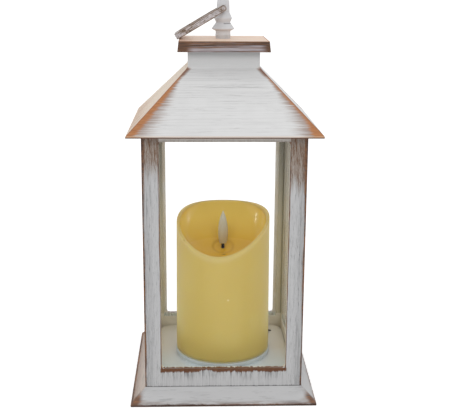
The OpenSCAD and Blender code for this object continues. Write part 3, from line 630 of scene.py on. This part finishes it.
# ---- Frames ----
# Four window frames make the body. Each is one moulding whose face is brushed white along the grain,
# brown along its edges and scratched across at the top; the insides stay cream, with painted shade
# in the corners and towards the roof.

frame_low, frame_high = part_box("front_frame")
body_half = frame_high.x
window_half = 46.75 * mm
sill_z = frame_low.z + 14.8 * mm
head_z = sill_z + 173.6 * mm
face_depth = 0.5 * mm
reveal_depth = 5.0 * mm


def frame_paint():
    finish = Finish("frame_paint")
    along, out, side, _ = wall_place(finish)
    level = finish.size(along)
    seed = finish.plus(side, finish.times(finish.above(along, 0.0), 9.0))
    broad = finish.streaks(finish.z, along, drag=5.0, grain=200.0, seed=seed, detail=2.0)
    strokes = finish.streaks(finish.z, along, drag=26.0, grain=1000.0, seed=finish.plus(seed, 2.0),
                             detail=4.0, rough=0.65)
    lines = finish.streaks(finish.z, along, drag=30.0, grain=2300.0, seed=finish.plus(seed, 5.0), detail=4.0,
                           rough=0.75)
    short = finish.streaks(finish.z, along, drag=70.0, grain=950.0, seed=finish.plus(seed, 7.0), detail=4.0,
                           rough=0.75)
    dashes = finish.streaks(finish.z, along, drag=120.0, grain=2000.0, seed=finish.plus(seed, 20.0),
                            detail=4.0, rough=0.8)
    blotch = finish.noise(finish.place, 420.0)

    # the frame's parts: beside the window, below it, and the brown top, which reaches lower in places
    in_span = finish.below(level, window_half)
    in_height = finish.times(finish.above(finish.z, sill_z), finish.below(finish.z, head_z))
    bottom = finish.below(finish.z, sill_z)
    in_sill = finish.times(bottom, in_span)
    brown_from = frame_high.z - 44 * mm
    brown_full = frame_high.z - 23 * mm
    reach = finish.plus(finish.times(along, 0.1), finish.sway(strokes, 26 * mm))
    top = finish.step(finish.plus(finish.z, reach), brown_from, brown_full)
    head = finish.times(finish.step(finish.z, head_z - 1 * mm, head_z + 2 * mm), in_span)

    # white paint with grey grain, darker towards the outer corners and in teeth under the window
    corner = finish.step(finish.plus(level, finish.sway(broad, 12 * mm)), window_half + 2 * mm,
                         body_half - 1 * mm)
    grey = finish.plus(finish.times(finish.step(lines, 0.44, 0.62), finish.blend(corner, 0.22, 0.5)),
                       finish.times(corner, 0.2))
    grey = finish.plus(grey, finish.step(dashes, 0.53, 0.66, -0.04, 0.62))
    teeth = finish.step(finish.z, frame_low.z + 3 * mm, sill_z - 2 * mm, 0.25, 1.0)
    sill_grey = finish.times(finish.step(short, 0.42, 0.66), bottom, in_span, teeth)
    shade = finish.most(finish.times(grey, finish.blend(in_sill, 0.7, 0.25)), finish.times(sill_grey, 0.7))
    paint = finish.mix(finish.plus(shade, SHADE_LEAST), PAINT, PAINT_SHADE)

    # brown scratches that cross each other under the eaves
    slant = finish.plus(along, finish.times(finish.z, 0.12))
    counter = finish.minus(along, finish.times(finish.z, 0.06))
    crossing = finish.streaks(finish.z, slant, drag=80.0, grain=1500.0, seed=finish.plus(seed, 12.0),
                              detail=4.0, rough=0.8)
    crossed = finish.streaks(finish.z, counter, drag=90.0, grain=1900.0, seed=finish.plus(seed, 15.0),
                             detail=4.0, rough=0.8)
    scratch = finish.most(finish.step(crossing, 0.45, 0.6), finish.step(crossed, 0.47, 0.62))
    under_eaves = finish.step(finish.z, frame_high.z - 7 * mm, frame_high.z - 2 * mm, 1.0, 0.55)
    tinted = finish.times(top, finish.blend(head, 0.5, 0.05))
    scratched = finish.times(scratch, top, under_eaves, finish.blend(head, 1.0, 0.1))
    paint = finish.mix(tinted, paint, colour("8A7254"))
    paint = finish.mix(scratched, paint, colour("684628"))
    paint = finish.mix(finish.times(head, 0.5), paint, colour("DAD2C8"))

    # wear along the outer corners and the window's edge
    ragged = finish.sway(strokes, 2.4 * mm)
    from_side = finish.minus(finish.minus(body_half, level), ragged)
    outer_edge = worn_edge(finish, from_side, finish.blend(top, 0.8 * mm, 1.3 * mm),
                           finish.blend(top, 1.5 * mm, 4 * mm), strokes)
    from_window = finish.size(finish.minus(level, window_half))
    inner_edge = finish.times(finish.drop(finish.minus(from_window, ragged), 0.3 * mm, 0.9 * mm), in_height)

    # a ragged bare band under the window, thinner in one place
    gap_x = 13 * mm
    band_depth = 2.9 * mm
    gap = finish.drop(finish.size(finish.plus(along, gap_x)), 2 * mm, 7 * mm, 1.6 * mm)
    sill_depth = finish.minus(finish.plus(band_depth, finish.sway(short, 6 * mm)), gap)
    below_sill = finish.minus(finish.minus(sill_z, finish.z), sill_depth)
    beside_sill = finish.drop(level, window_half + 0.4 * mm, window_half + 1.6 * mm)
    at_sill = finish.times(finish.drop(below_sill, -0.4 * mm, 0.6 * mm), beside_sill, bottom)
    worn = finish.most(outer_edge, inner_edge, at_sill)
    tone = finish.plus(finish.times(strokes, 0.5), finish.times(blotch, 0.5))
    wood = finish.mix(finish.step(tone, 0.42, 0.6), WOOD_DARK, colour("7E5638"))
    wood = finish.mix(finish.times(at_sill, 0.75), wood, colour("643B1C"))
    face = finish.mix(worn, paint, wood)

    # a dark seam where the frame stands on the plinth
    seam_least = 0.35 * mm
    seam_height = finish.plus(seam_least, finish.times(finish.minus(short, 0.45), 2.2 * mm))
    above_seam = finish.minus(finish.minus(finish.z, frame_low.z), seam_height)
    face = finish.mix(finish.drop(above_seam, -0.2 * mm, 0.3 * mm, 0.85), face, colour("3C3A38"))

    # reveals round the window, rubbed brown along the front of the sill
    tone = finish.noise(finish.place, 60.0, detail=2.0)
    reveal = finish.mix(finish.step(tone, 0.35, 0.7), colour("E4DCCC"), colour("E8E6DE"))
    on_sill = finish.below(finish.z, sill_z + 0.4 * mm)
    reveal = finish.mix(on_sill, reveal, colour("DDE2DC"))
    edge_depth = 2.7 * mm
    rubbed_depth = finish.plus(edge_depth, finish.sway(short, 9 * mm))
    from_face = finish.minus(body_half, out)
    rubbed = finish.drop(finish.minus(from_face, rubbed_depth), -0.3 * mm, 0.4 * mm)
    reveal = finish.mix(finish.times(rubbed, on_sill), reveal, colour("6C4020"))

    # the plain inside, with painted shade darkening it towards the roof and in its corners
    roof_shade_from = 80 * mm
    roof_shade_full = 192 * mm
    corner_shade_edge = body_half - 6.0 * mm
    inside = finish.mix(finish.step(tone, 0.3, 0.7), colour("C4BFAB"), colour("CAC5B1"))
    inside = finish.mix(finish.step(finish.z, roof_shade_from, roof_shade_full), inside, colour("8D897B"))
    # painted shade in the inner corners, where the frames meet
    corner_shade = finish.step(level, corner_shade_edge - 0.6 * mm, corner_shade_edge)
    inside = finish.mix(finish.times(corner_shade, 0.42), inside, colour("5C5B48"))
    back_rail = finish.times(bottom, finish.above(finish.y, 0.0))
    inside = finish.mix(finish.times(back_rail, 0.8), inside, colour("E6E2D8"))
    rear = finish.below(out, body_half - reveal_depth)
    outer = finish.above(out, body_half - face_depth)
    base = finish.mix(outer, finish.mix(rear, reveal, inside), face)
    relief = finish.plus(finish.times(lines, 0.6), finish.times(worn, 0.8))
    gloss = finish.blend(outer, 0.5, finish.blend(worn, 0.46, 0.6))
    return finish.surface(base, gloss, finish.times(relief, outer, -1.0), depth=0.15 * mm)


painted_frame = frame_paint()
for name in ("front_frame", "back_frame", "left_frame", "right_frame"):
    dress(frame["nodes"][name], painted_frame, edge=0.25 * mm)


# ---- Panes ----
# The panes are clear styrene sheet, cut 1.2 mm thick and glued into the rebate behind each opening.
# Seen square on they all but vanish, and at a slant they mirror a little.


def clear_sheet():
    finish = Finish("clear_sheet")
    tree = finish.tree
    wave = finish.noise(finish.place, 9.0, detail=1.0)
    finish.surface(colour("F6F6F6"), 0.03, wave, depth=0.1 * mm, Metallic=1.0)
    through = finish.add("ShaderNodeBsdfTransparent", Color=(0.995, 0.995, 0.995, 1.0))
    slant = finish.add("ShaderNodeLayerWeight", Blend=0.5).outputs["Facing"]
    gloss = finish.plus(0.01, finish.times(finish.math("POWER", slant, 5.0), 0.7))
    both = finish.add("ShaderNodeMixShader", in0=gloss, in1=through.outputs[0], in2=finish.shader.outputs[0])
    tree.links.new(both.outputs[0], tree.nodes["Material Output"].inputs["Surface"])
    return finish.material


sheet = clear_sheet()
for name in ("front_pane", "back_pane", "left_pane", "right_pane"):
    dress(frame["nodes"][name], sheet)


# ---- Top plate and roof ----
# The roof is one hollow moulding with lengthwise wood grain, white on its slopes and copper along the
# hips and eaves, where the paint is rubbed through. The plain top plate under it closes the body.

dress(frame["nodes"]["top_plate"], bare_plastic)
eave_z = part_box("roof")[0].z
slope_top = eave_z + 44.9 * mm


def roof_paint():
    finish = Finish("roof_paint")
    along, out, side, _ = wall_place(finish)
    left = left_side(finish)
    strokes = finish.streaks(along, finish.z, drag=34.0, grain=2300.0, seed=side, detail=4.0, rough=0.7)
    fine = finish.streaks(along, finish.z, drag=12.0, grain=2200.0, seed=finish.plus(side, 6.0), detail=4.0,
                          rough=0.75)
    hair = finish.streaks(along, finish.z, drag=30.0, grain=2600.0, seed=finish.plus(side, 8.0), detail=4.0,
                          rough=0.8)
    down = finish.streaks(finish.z, along, drag=22.0, grain=420.0, seed=finish.plus(side, 9.0))
    patches = finish.noise(finish.place, 40.0, detail=2.0)
    from_hip = finish.minus(out, finish.size(along))
    slope = finish.step(finish.z, slope_top - 1 * mm, slope_top + 1 * mm, 1.0, 0.0)

    # copper along the hips, wider towards the eaves, in strokes that thin out and grey into the paint
    hip_least = 0.6 * mm
    hip_top = slope_top - 2 * mm
    low = finish.drop(finish.z, eave_z, hip_top)
    corner = finish.drop(finish.z, eave_z, eave_z + 13 * mm)
    lower_half = finish.drop(finish.z, eave_z + 22 * mm, hip_top)
    right = finish.above(finish.times(along, finish.math("SIGN", finish.y)), 0.0)
    left_core = finish.plus(finish.times(lower_half, 2.2 * mm), finish.times(low, 3.2 * mm))
    left_core = finish.plus(hip_least, left_core)
    right_core = finish.plus(finish.times(low, 2.2 * mm), finish.times(corner, 4.8 * mm))
    right_core = finish.plus(hip_least, right_core)
    core = finish.blend(right, right_core, left_core)
    reach = finish.blend(right, finish.plus(2 * mm, finish.times(low, 17 * mm)),
                         finish.plus(2.5 * mm, finish.times(low, 18 * mm)))
    ragged = finish.sway(strokes, finish.plus(low, 0.3), 7 * mm)
    from_core = finish.minus(finish.minus(from_hip, ragged), core)
    solid = finish.drop(from_core, -1.4 * mm, 2.4 * mm)
    fade = finish.drop(from_core, 0.0, reach)
    tinted = finish.times(fade, finish.step(finish.plus(strokes, finish.times(fade, 0.2)), 0.44, 0.74), 0.85)

    # a dark dab at the top of each hip
    dab_z = slope_top - 3 * mm
    near_top = finish.band(finish.z, dab_z, 1.5 * mm, 5 * mm)
    dab = finish.times(near_top, finish.drop(from_hip, 1.5 * mm, 4.5 * mm), slope)

    # white paint with long hair lines of grain and one deeper crack, and a cream left side, partly thin paint
    # over the brown and partly painted sheen
    crack_middle = 4 * mm
    crack_high = 236 * mm
    hairs = finish.most(finish.step(fine, 0.5, 0.64, 0.0, 0.16), finish.step(hair, 0.585, 0.65, 0.0, 0.45))
    grain = finish.times(hairs, finish.step(patches, 0.3, 0.6, 0.55, 1.0))
    crack_z = finish.plus(crack_high, finish.sway(patches, 2.5 * mm))
    crack = finish.times(finish.band(finish.z, crack_z, 0.1 * mm, 0.45 * mm),
                         finish.band(along, crack_middle, 16 * mm, 34 * mm),
                         finish.step(hair, 0.35, 0.5, 0.3, 1.0))
    grey = finish.times(finish.most(grain, finish.times(crack, 0.4)), slope)
    white = finish.mix(finish.step(patches, 0.3, 0.7), colour("E0E0E0"), colour("E6E6E6"))
    high = finish.step(finish.z, slope_top - 16 * mm, slope_top, 0.0, 0.25)
    white = finish.mix(finish.times(slope, high), white, colour("BABABA"))
    paint = finish.mix(grey, white, colour("7E7D7D"))
    paint = finish.mix(slope, colour("CECECE"), paint)
    sheen_cream = finish.mix(finish.step(down, 0.45, 0.7), colour("E8D8C4"), colour("DAC4AC"))
    paint = finish.mix(left, paint, sheen_cream)

    # copper over the paint: along the hips, in strokes down the left slope, and a thin line on every hip
    wood = finish.mix(finish.step(strokes, 0.35, 0.65), colour("A56A40"), colour("C08455"))
    wood = finish.mix(finish.times(near_top, 0.8), wood, colour("6E4631"))
    not_left = finish.blend(left, 1.0, 0.0)
    worn = finish.times(finish.most(solid, finish.times(dab, 0.8)), slope, not_left)
    base = finish.mix(finish.times(tinted, slope, not_left), paint, colour("957A6C"))
    base = finish.mix(worn, base, wood)
    lower = finish.step(finish.z, eave_z + 4 * mm, eave_z + 26 * mm, 0.85, 0.15)
    rubbed = finish.step(finish.plus(down, finish.times(lower, 0.12)), 0.48, 0.7)
    base = finish.mix(finish.times(left, slope, lower, rubbed, 0.8), base, colour("B07A50"))
    outline = finish.times(finish.drop(from_hip, 0.3 * mm, 0.8 * mm), slope)
    base = finish.mix(finish.times(outline, 0.6), base, colour("8A5A3C"))

    # the rubbed edge of the eaves, with a pale line above it and brown underneath
    pale_line = finish.drop(finish.z, eave_z + 1.5 * mm, eave_z + 2.0 * mm, 0.4)
    edge = finish.drop(finish.z, eave_z + 0.6 * mm, eave_z + 1.0 * mm)
    underneath = finish.below(finish.z, eave_z + 0.05 * mm)
    base = finish.mix(pale_line, base, colour("DDBFA0"))
    base = finish.mix(edge, base, colour("5E3C28"))
    base = finish.mix(underneath, base, colour("8A5C3C"))
    relief = finish.times(grain, slope, finish.blend(left, -0.7, 0.0))
    height = finish.plus(relief, finish.times(worn, -0.6))
    return finish.surface(base, finish.blend(worn, 0.46, 0.6), height, depth=0.18 * mm)


dress(frame["nodes"]["roof"], roof_paint(), edge=0.3 * mm)


# ---- Cap ----
# The cap is a shallow square tray, turned over and clamped on the neck. It is left brown, with a
# few strokes of white dragged along its sides and a painted pale peach sheen on its top.

cap_low, cap_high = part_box("cap")


def cap_paint():
    finish = Finish("cap_paint")
    along, out, side, _ = wall_place(finish)
    strokes = finish.streaks(along, finish.z, drag=16.0, grain=1000.0, seed=side, detail=4.0, rough=0.74)
    lines = finish.streaks(along, finish.z, drag=60.0, grain=1100.0, seed=finish.plus(side, 4.0), detail=4.0,
                           rough=0.7)

    # sides: white strokes that stop short of the corners, more so at the right, over brown
    down = finish.drop(finish.z, cap_low.z + 1.5 * mm, cap_high.z - 0.5 * mm)
    from_end = finish.minus(out, finish.size(along))
    right = finish.above(finish.times(along, finish.math("SIGN", finish.y)), 0.0)
    ends = finish.step(finish.minus(from_end, finish.times(right, 4 * mm)), 1.5 * mm, 8 * mm)
    cover = finish.plus(finish.times(down, 0.17), strokes)
    white = finish.times(finish.step(cover, 0.55, 0.72), ends, 0.7)
    wood = finish.mix(finish.step(lines, 0.38, 0.62), colour("412713"), colour("744A28"))
    wood = finish.mix(finish.drop(from_end, 3 * mm, 9 * mm, 0.4), wood, colour("3E2410"))
    side_face = finish.mix(white, wood, colour("BCB7BE"))

    # top: a painted peach sheen of the white surroundings mirrored at a slant, browner round the rim and
    # towards the left
    sheen_streaks = finish.streaks(finish.x, finish.y, drag=40.0, grain=500.0, seed=1.0)
    top_face = finish.mix(finish.step(sheen_streaks, 0.3, 0.7), colour("F0CEB4"), colour("F8E2D0"))
    rim = finish.drop(finish.minus(cap_high.x - 0.9 * mm, out), 0.2 * mm, 1.4 * mm)
    top_face = finish.mix(rim, top_face, colour("B5835F"))
    bare_end = finish.drop(finish.x, cap_low.x + 1 * mm, cap_low.x + 14 * mm, 0.6)
    top_face = finish.mix(bare_end, top_face, colour("A9795A"))
    on_top = finish.above(finish.z, cap_high.z - 0.15 * mm)
    base = finish.mix(on_top, side_face, top_face)
    return finish.surface(base, 0.5, finish.minus(lines, white), depth=0.12 * mm)


dress(frame["nodes"]["cap"], cap_paint(), edge=0.3 * mm)


# ---- Finial ----
# The finial is moulded in the shape of a turning and sprayed satin grey-white all over. A screw from
# inside the roof holds it and the cap.

finial_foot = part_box("finial")[0].z


def satin_paint():
    finish = Finish("satin_paint")
    cloud = finish.noise(finish.place, 90.0)
    fine = finish.noise(finish.place, 700.0, detail=2.0)
    base = finish.mix(finish.step(cloud, 0.3, 0.7), colour("CACACC"), colour("D6D6D8"))
    # painted shade darkening the foot, where it stands on the cap
    foot_shade = finish.drop(finish.z, finial_foot, finial_foot + 5 * mm)
    base = finish.mix(finish.times(foot_shade, 0.35), base, colour("858382"))

    # a short mark round the front of the neck
    mark_high = 11.2 * mm
    mark = finish.times(finish.band(finish.z, finial_foot + mark_high, 0.2 * mm, 0.5 * mm),
                        finish.above(finish.x, 0.3 * mm), finish.below(finish.y, 0.0))
    base = finish.mix(finish.times(mark, 0.7), base, colour("5A5857"))
    return finish.surface(base, 0.4, finish.minus(fine, mark), depth=0.04 * mm)


dress(frame["nodes"]["finial"], satin_paint())


# ---- Handle ----
# The bail handle is a flat moulded loop whose two pins sit in the finial's cross bore. It is brown,
# streaked lengthwise with grey-white on its faces and bare along its edges.

handle_pin = frame["record"]["behaviour"]["joints"][0]["pos_m"]
handle_angle = math.radians(30.45)
handle_reach = -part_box("handle")[0].x / math.cos(handle_angle)
bar_width = 5.5 * mm
eye_r = 1.75 * mm


def handle_paint():
    finish = Finish("handle_paint")
    lean_x, lean_z = math.sin(handle_angle), math.cos(handle_angle)

    # places on the loop as it lies: how far from the pins, and how far from the middle of its thickness
    up = finish.minus(finish.z, handle_pin[2])
    far = finish.plus(finish.times(finish.x, -lean_z), finish.times(up, -lean_x))
    thick = finish.plus(finish.times(finish.x, -lean_x), finish.times(up, lean_z))

    # strokes along the two arms and the bar that joins them
    arm = finish.streaks(far, finish.plus(thick, finish.times(finish.y, 0.6)), drag=190.0, grain=2300.0,
                         seed=finish.math("SIGN", finish.y), detail=4.0, rough=0.78)
    bar = finish.streaks(finish.y, finish.plus(thick, finish.times(far, 0.6)), drag=190.0, grain=2300.0,
                         seed=3.0, detail=4.0, rough=0.78)
    strokes = finish.blend(finish.above(far, handle_reach - bar_width), arm, bar)
    patches = finish.noise(finish.place, 160.0)
    cover = finish.plus(finish.times(patches, 0.25), finish.times(strokes, 0.75))

    # bare along the edges, less so on the flat faces, and a brown ring round each pin that is painted shade
    # where the loop's end meets the finial
    facing = finish.add("ShaderNodeVectorMath", {"operation": "DOT_PRODUCT"}, in0=finish.facing,
                        in1=(-lean_x, 0.0, lean_z))
    flat = finish.step(finish.size(facing.outputs["Value"]), 0.75, 0.9)
    edge = finish.step(finish.size(thick), 1.2 * mm, 2.0 * mm)
    edge = finish.times(edge, finish.minus(1.0, finish.times(flat, 0.75)))
    eye_shade = finish.band(finish.distance(far, thick), eye_r, 0.1 * mm, 0.5 * mm)
    bare = finish.most(edge, finish.times(eye_shade, 0.9))
    wood = finish.mix(finish.step(strokes, 0.35, 0.65), colour("4A3822"), colour("8C6C48"))
    white = finish.times(finish.step(cover, 0.43, 0.54), finish.minus(1.0, finish.times(bare, 0.8)))
    base = finish.mix(white, wood, colour("D0CBCE"))
    return finish.surface(base, 0.5, strokes, depth=0.12 * mm)


dress(frame["nodes"]["handle"], handle_paint(), edge=0.5 * mm)


# ---- Floor, light and camera ----
# A pale floor runs out to a white world all round. Two softboxes stand high in front, one to either
# side, and a narrow strip beside each flank. The camera stands in front, level with the finial.

floor_size = 60.0
floor_glow = 0.5
bpy.ops.mesh.primitive_grid_add(x_subdivisions=4, y_subdivisions=4, size=floor_size)
floor = bpy.context.object
floor.name = "floor"
ground = Finish("ground")
ground.surface(colour("F4F4F4"), 0.9)
seen = ground.add("ShaderNodeLightPath").outputs["Is Camera Ray"]
glow = ground.add("ShaderNodeEmission", Color=(1, 1, 1, 1), Strength=ground.times(seen, floor_glow))
lit = ground.add("ShaderNodeAddShader", in0=ground.shader.outputs[0], in1=glow.outputs[0])
ground.tree.links.new(lit.outputs[0], ground.tree.nodes["Material Output"].inputs["Surface"])
floor.data.materials.append(ground.material)

world = bpy.data.worlds.new("studio")
bpy.context.scene.world = world
world.use_nodes = True
sky = world.node_tree
rays = sky.nodes.new("ShaderNodeLightPath")
either = sky.nodes.new("ShaderNodeMath")
either.operation = "MAXIMUM"
sky.links.new(rays.outputs["Is Camera Ray"], either.inputs[0])
sky.links.new(rays.outputs["Is Glossy Ray"], either.inputs[1])
any_seen = sky.nodes.new("ShaderNodeMath")
any_seen.operation = "MAXIMUM"
sky.links.new(either.outputs[0], any_seen.inputs[0])
sky.links.new(rays.outputs["Is Transmission Ray"], any_seen.inputs[1])
light_level = 0.66
seen_level = 1.0
level = sky.nodes.new("ShaderNodeMapRange")
sky.links.new(any_seen.outputs[0], level.inputs["Value"])
level.inputs["To Min"].default_value = light_level
level.inputs["To Max"].default_value = seen_level
sky.links.new(level.outputs[0], sky.nodes["Background"].inputs["Strength"])
sky.nodes["Background"].inputs["Color"].default_value = (1, 1, 1, 1)

light_aim = Vector((0, 0, 0.12))
softbox = (0.5, 0.5)
strip = (0.14, 0.5)


def lamp(name, place, size, power):
    """A rectangular lamp that points at the middle of the lantern."""
    light = bpy.data.lights.new(name, "AREA")
    light.shape = "RECTANGLE"
    light.size, light.size_y = size
    light.energy = power
    holder = bpy.data.objects.new(name, light)
    bpy.context.scene.collection.objects.link(holder)
    holder.location = place
    holder.rotation_mode = "QUATERNION"
    holder.rotation_quaternion = (light_aim - Vector(place)).to_track_quat("-Z", "Y")


lamp("left_softbox", place=(-0.42, -1.2, 0.9), size=softbox, power=2.4)
lamp("right_softbox", place=(0.42, -1.2, 0.9), size=softbox, power=2.4)
lamp("left_strip", place=(-1.24, 0.2, 0.69), size=strip, power=1.6)
lamp("right_strip", place=(1.24, 0.2, 0.69), size=strip, power=1.05)

camera = bpy.data.objects.new("camera", bpy.data.cameras.new("camera"))
bpy.context.scene.collection.objects.link(camera)
camera.data.lens = 69.92
camera.data.sensor_width = 36.0
camera.location = (-0.0188, -0.6685, 0.3109)
heading, pitch, roll = math.radians(1.803), math.radians(14.643), math.radians(0.322)
camera.rotation_mode = "QUATERNION"
turn = (Matrix.Rotation(-heading, 3, "Z") @ Matrix.Rotation(math.pi / 2 - pitch, 3, "X")
        @ Matrix.Rotation(roll, 3, "Z"))
camera.rotation_quaternion = turn.to_quaternion()
bpy.context.scene.camera = camera
bpy.context.scene.view_settings.view_transform = "Standard"
